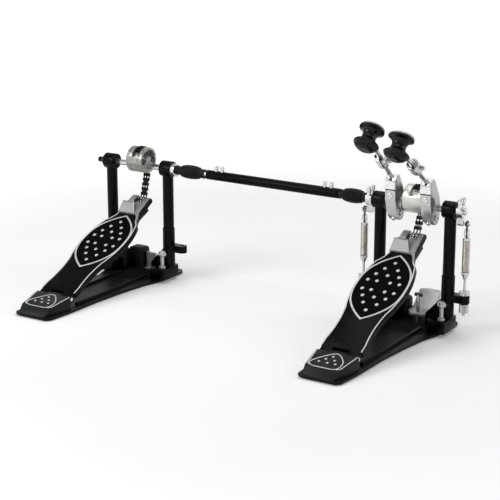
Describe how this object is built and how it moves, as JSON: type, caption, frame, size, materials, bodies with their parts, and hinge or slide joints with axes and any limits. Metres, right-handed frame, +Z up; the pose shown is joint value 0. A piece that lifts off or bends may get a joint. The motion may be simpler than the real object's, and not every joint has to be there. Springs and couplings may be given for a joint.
{
  "type": "double bass drum pedal",
  "caption": "Double bass drum pedal: a main pedal with twin beaters, joined by a telescopic universal-joint shaft to a slave pedal, each with a chain-driven footboard.",
  "frame": {"origin": "on the floor under the middle of the main pedal's axle", "axes": "+X along the axles from the slave pedal to the main pedal, +Y towards the drum, +Z up"},
  "size_m": [0.6892, 0.345, 0.3311],
  "materials": {
    "black_enamel": "satin",
    "chrome": "polished",
    "toe_alloy": "satin",
    "cam_alloy": "satin",
    "clamp_steel": "satin",
    "chain_steel": "satin",
    "spring_steel": "satin",
    "mat_rubber": "matte",
    "boot_rubber": "matte",
    "head_plastic": "gloss",
    "felt": "matte"
  },
  "bodies": {
    "main_frame": {"main_base_plate": "black_enamel", "main_floor_mat": "mat_rubber", "main_heel_plate": "black_enamel", "main_post_left": "black_enamel", "main_post_right": "black_enamel", "main_bearings": "chrome"},
    "main_footboard": {"main_footboard": "black_enamel", "main_toe_plate": "toe_alloy", "main_hinge_pins": "chrome"},
    "main_axle": {"main_axle": "chrome", "main_cam": "cam_alloy", "right_hub": "chrome", "right_rocker": "chrome", "main_chain_wrap": "chain_steel"},
    "main_chain_link": {"main_chain_link": "chain_steel"},
    "main_chain_run": {"main_chain_run": "chain_steel"},
    "main_spur_left": {"main_spur_left": "chrome"},
    "main_spur_right": {"main_spur_right": "chrome"},
    "right_spring_lower": {"right_spring_rod": "chrome", "right_spring": "spring_steel"},
    "right_spring_upper": {"right_spring_hook": "black_enamel"},
    "right_spring_nuts": {"right_spring_nuts": "chrome"},
    "right_beater": {"right_beater_rod": "chrome"},
    "right_beater_head": {"right_beater_head": "head_plastic", "right_beater_felt": "felt"},
    "hoop_clamp_jaw": {"hoop_clamp_jaw": "clamp_steel"},
    "hoop_clamp_screw": {"hoop_clamp_screw": "chrome"},
    "drive_link": {"main_boot": "boot_rubber"},
    "slave_link": {"slave_boot": "boot_rubber"},
    "drive_tube": {"drive_tube": "black_enamel", "drive_tube_bolts": "chrome", "main_joint_cross": "chrome"},
    "inner_rod": {"inner_rod": "chrome", "slave_joint_cross": "chrome"},
    "slave_frame": {"slave_base_plate": "black_enamel", "slave_floor_mat": "mat_rubber", "slave_heel_plate": "black_enamel", "slave_post_left": "black_enamel", "slave_post_right": "black_enamel", "slave_bearings": "chrome"},
    "slave_footboard": {"slave_footboard": "black_enamel", "slave_toe_plate": "toe_alloy", "slave_hinge_pins": "chrome"},
    "slave_axle": {"slave_axle": "chrome", "slave_cam": "cam_alloy", "slave_chain_wrap": "chain_steel"},
    "slave_chain_link": {"slave_chain_link": "chain_steel"},
    "slave_chain_run": {"slave_chain_run": "chain_steel"},
    "slave_spur_left": {"slave_spur_left": "chrome"},
    "slave_spur_right": {"slave_spur_right": "chrome"},
    "left_shaft": {"left_hub_shaft": "chrome", "left_hub": "chrome", "left_rocker": "chrome"},
    "left_spring_lower": {"left_spring_rod": "chrome", "left_spring": "spring_steel"},
    "left_spring_upper": {"left_spring_hook": "black_enamel"},
    "left_spring_nuts": {"left_spring_nuts": "chrome"},
    "left_beater": {"left_beater_rod": "chrome"},
    "left_beater_head": {"left_beater_head": "head_plastic", "left_beater_felt": "felt"}
  },
  "joints": [
    {"name": "main_footboard_press", "type": "hinge", "parent": "main_frame", "child": "main_footboard", "pos_m": [0, -0.2257, 0.0195], "axis": [-1, 0, 0], "range_deg": [0, 5.06], "stiffness_Nm_per_rad": 60, "springref_deg": -2.86},
    {"name": "main_axle_turn", "type": "hinge", "parent": "main_frame", "child": "main_axle", "pos_m": [0, 0, 0.19], "axis": [-1, 0, 0], "range_deg": [0, 45.2]},
    {"name": "main_chain_unwind", "type": "hinge", "parent": "main_axle", "child": "main_chain_link", "pos_m": [0, 0.01976, 0.19819], "axis": [-1, 0, 0], "range_deg": [-23.51, 0]},
    {"name": "main_chain_hang", "type": "hinge", "parent": "main_chain_link", "child": "main_chain_run", "pos_m": [0, 0.01763, 0.19048], "axis": [-1, 0, 0], "range_deg": [-35.83, 0]},
    {"name": "main_spur_left_raise", "type": "slide", "parent": "main_frame", "child": "main_spur_left", "axis": [0, 0, 1], "range_m": [0, 0.008]},
    {"name": "main_spur_right_raise", "type": "slide", "parent": "main_frame", "child": "main_spur_right", "axis": [0, 0, 1], "range_m": [0, 0.008]},
    {"name": "right_spring_swing", "type": "hinge", "parent": "main_frame", "child": "right_spring_lower", "pos_m": [0.085, 0, 0.05625], "axis": [1, 0, 0], "range_deg": [0, 6.32]},
    {"name": "right_spring_stretch", "type": "slide", "parent": "right_spring_lower", "child": "right_spring_upper", "axis": [0, 0, 1], "range_m": [0, 0.00506], "deforming": ["right_spring"]},
    {"name": "right_spring_tension", "type": "hinge", "parent": "right_spring_lower", "child": "right_spring_nuts", "pos_m": [0.085, 0, 0.066], "axis": [0, 0, 1], "continuous": true},
    {"name": "right_beater_reach", "type": "slide", "parent": "main_axle", "child": "right_beater", "axis": [0, -0.8059, 0.592], "range_m": [-0.01, 0.01]},
    {"name": "right_beater_head_turn", "type": "hinge", "parent": "right_beater", "child": "right_beater_head", "pos_m": [0.0285, -0.11716, 0.30178], "axis": [0, -0.8059, 0.592], "range_deg": [0, 180]},
    {"name": "hoop_clamp_close", "type": "hinge", "parent": "main_frame", "child": "hoop_clamp_jaw", "pos_m": [0.007, 0.022, 0.018], "axis": [-1, 0, 0], "range_deg": [0, 25.1]},
    {"name": "hoop_clamp_tighten", "type": "slide", "parent": "hoop_clamp_jaw", "child": "hoop_clamp_screw", "axis": [0, 0, -1], "range_m": [0, 0.0065]},
    {"name": "drive_yaw", "type": "hinge", "parent": "main_frame", "child": "drive_link", "pos_m": [-0.105, 0, 0.19], "axis": [0, 0, 1], "range_deg": [-12, 12], "deforming": ["main_boot"]},
    {"name": "drive_extend", "type": "slide", "parent": "drive_link", "child": "slave_link", "axis": [-1, 0, 0], "range_m": [0, 0.08]},
    {"name": "slave_yaw", "type": "hinge", "parent": "slave_link", "child": "slave_frame", "pos_m": [-0.408, 0, 0.19], "axis": [0, 0, 1], "range_deg": [-12, 12], "deforming": ["slave_boot"]},
    {"name": "slave_footboard_press", "type": "hinge", "parent": "slave_frame", "child": "slave_footboard", "pos_m": [-0.512, -0.2257, 0.0195], "axis": [-1, 0, 0], "range_deg": [0, 4.53], "stiffness_Nm_per_rad": 60, "springref_deg": -2.86},
    {"name": "slave_axle_turn", "type": "hinge", "parent": "slave_frame", "child": "slave_axle", "pos_m": [-0.512, 0, 0.19], "axis": [-1, 0, 0], "range_deg": [0, 45.2]},
    {"name": "slave_chain_unwind", "type": "hinge", "parent": "slave_axle", "child": "slave_chain_link", "pos_m": [-0.512, 0.01962, 0.20216], "axis": [-1, 0, 0], "range_deg": [-23.51, 0]},
    {"name": "slave_chain_hang", "type": "hinge", "parent": "slave_chain_link", "child": "slave_chain_run", "pos_m": [-0.512, 0.01907, 0.19417], "axis": [-1, 0, 0], "range_deg": [-28.06, 0]},
    {"name": "slave_spur_left_raise", "type": "slide", "parent": "slave_frame", "child": "slave_spur_left", "axis": [0, 0, 1], "range_m": [0, 0.008]},
    {"name": "slave_spur_right_raise", "type": "slide", "parent": "slave_frame", "child": "slave_spur_right", "axis": [0, 0, 1], "range_m": [0, 0.008]},
    {"name": "drive_tube_turn", "type": "hinge", "parent": "drive_link", "child": "drive_tube", "pos_m": [-0.25, 0, 0.19], "axis": [-1, 0, 0], "range_deg": [0, 45.2]},
    {"name": "inner_rod_turn", "type": "hinge", "parent": "slave_link", "child": "inner_rod", "pos_m": [-0.33, 0, 0.19], "axis": [-1, 0, 0], "range_deg": [0, 45.2]},
    {"name": "left_hub_turn", "type": "hinge", "parent": "main_frame", "child": "left_shaft", "pos_m": [-0.0295, 0, 0.19], "axis": [-1, 0, 0], "range_deg": [0, 45.2]},
    {"name": "left_spring_swing", "type": "hinge", "parent": "main_frame", "child": "left_spring_lower", "pos_m": [-0.085, 0, 0.05625], "axis": [1, 0, 0], "range_deg": [0, 6.32]},
    {"name": "left_spring_stretch", "type": "slide", "parent": "left_spring_lower", "child": "left_spring_upper", "axis": [0, 0, 1], "range_m": [0, 0.00506], "deforming": ["left_spring"]},
    {"name": "left_spring_tension", "type": "hinge", "parent": "left_spring_lower", "child": "left_spring_nuts", "pos_m": [-0.085, 0, 0.066], "axis": [0, 0, 1], "continuous": true},
    {"name": "left_beater_reach", "type": "slide", "parent": "left_shaft", "child": "left_beater", "axis": [0, -0.7242, 0.6896], "range_m": [-0.01, 0.01]},
    {"name": "left_beater_head_turn", "type": "hinge", "parent": "left_beater", "child": "left_beater_head", "pos_m": [-0.0295, -0.09728, 0.30531], "axis": [0, -0.7242, 0.6896], "range_deg": [0, 180]}
  ],
  "couplings": [
    {"joint": "main_axle_turn", "follows": "main_footboard_press", "ratio": 8.8976},
    {"joint": "main_chain_unwind", "follows": "main_footboard_press", "ratio": -4.609},
    {"joint": "main_chain_hang", "follows": "main_footboard_press", "ratio": -7.0442},
    {"joint": "right_spring_swing", "follows": "main_footboard_press", "ratio": 1.2297},
    {"joint": "right_spring_stretch", "follows": "main_footboard_press", "m_per_rad": 0.056227},
    {"joint": "hoop_clamp_close", "follows": "hoop_clamp_tighten", "rad_per_m": 67.128},
    {"joint": "slave_axle_turn", "follows": "slave_footboard_press", "ratio": 9.9285},
    {"joint": "slave_chain_unwind", "follows": "slave_footboard_press", "ratio": -5.143},
    {"joint": "slave_chain_hang", "follows": "slave_footboard_press", "ratio": -6.1477},
    {"joint": "drive_tube_turn", "follows": "slave_footboard_press", "ratio": 9.9285},
    {"joint": "inner_rod_turn", "follows": "slave_footboard_press", "ratio": 9.9285},
    {"joint": "left_hub_turn", "follows": "slave_footboard_press", "ratio": 9.9285},
    {"joint": "left_spring_swing", "follows": "slave_footboard_press", "ratio": 1.3722},
    {"joint": "left_spring_stretch", "follows": "slave_footboard_press", "m_per_rad": 0.062742}
  ]
}
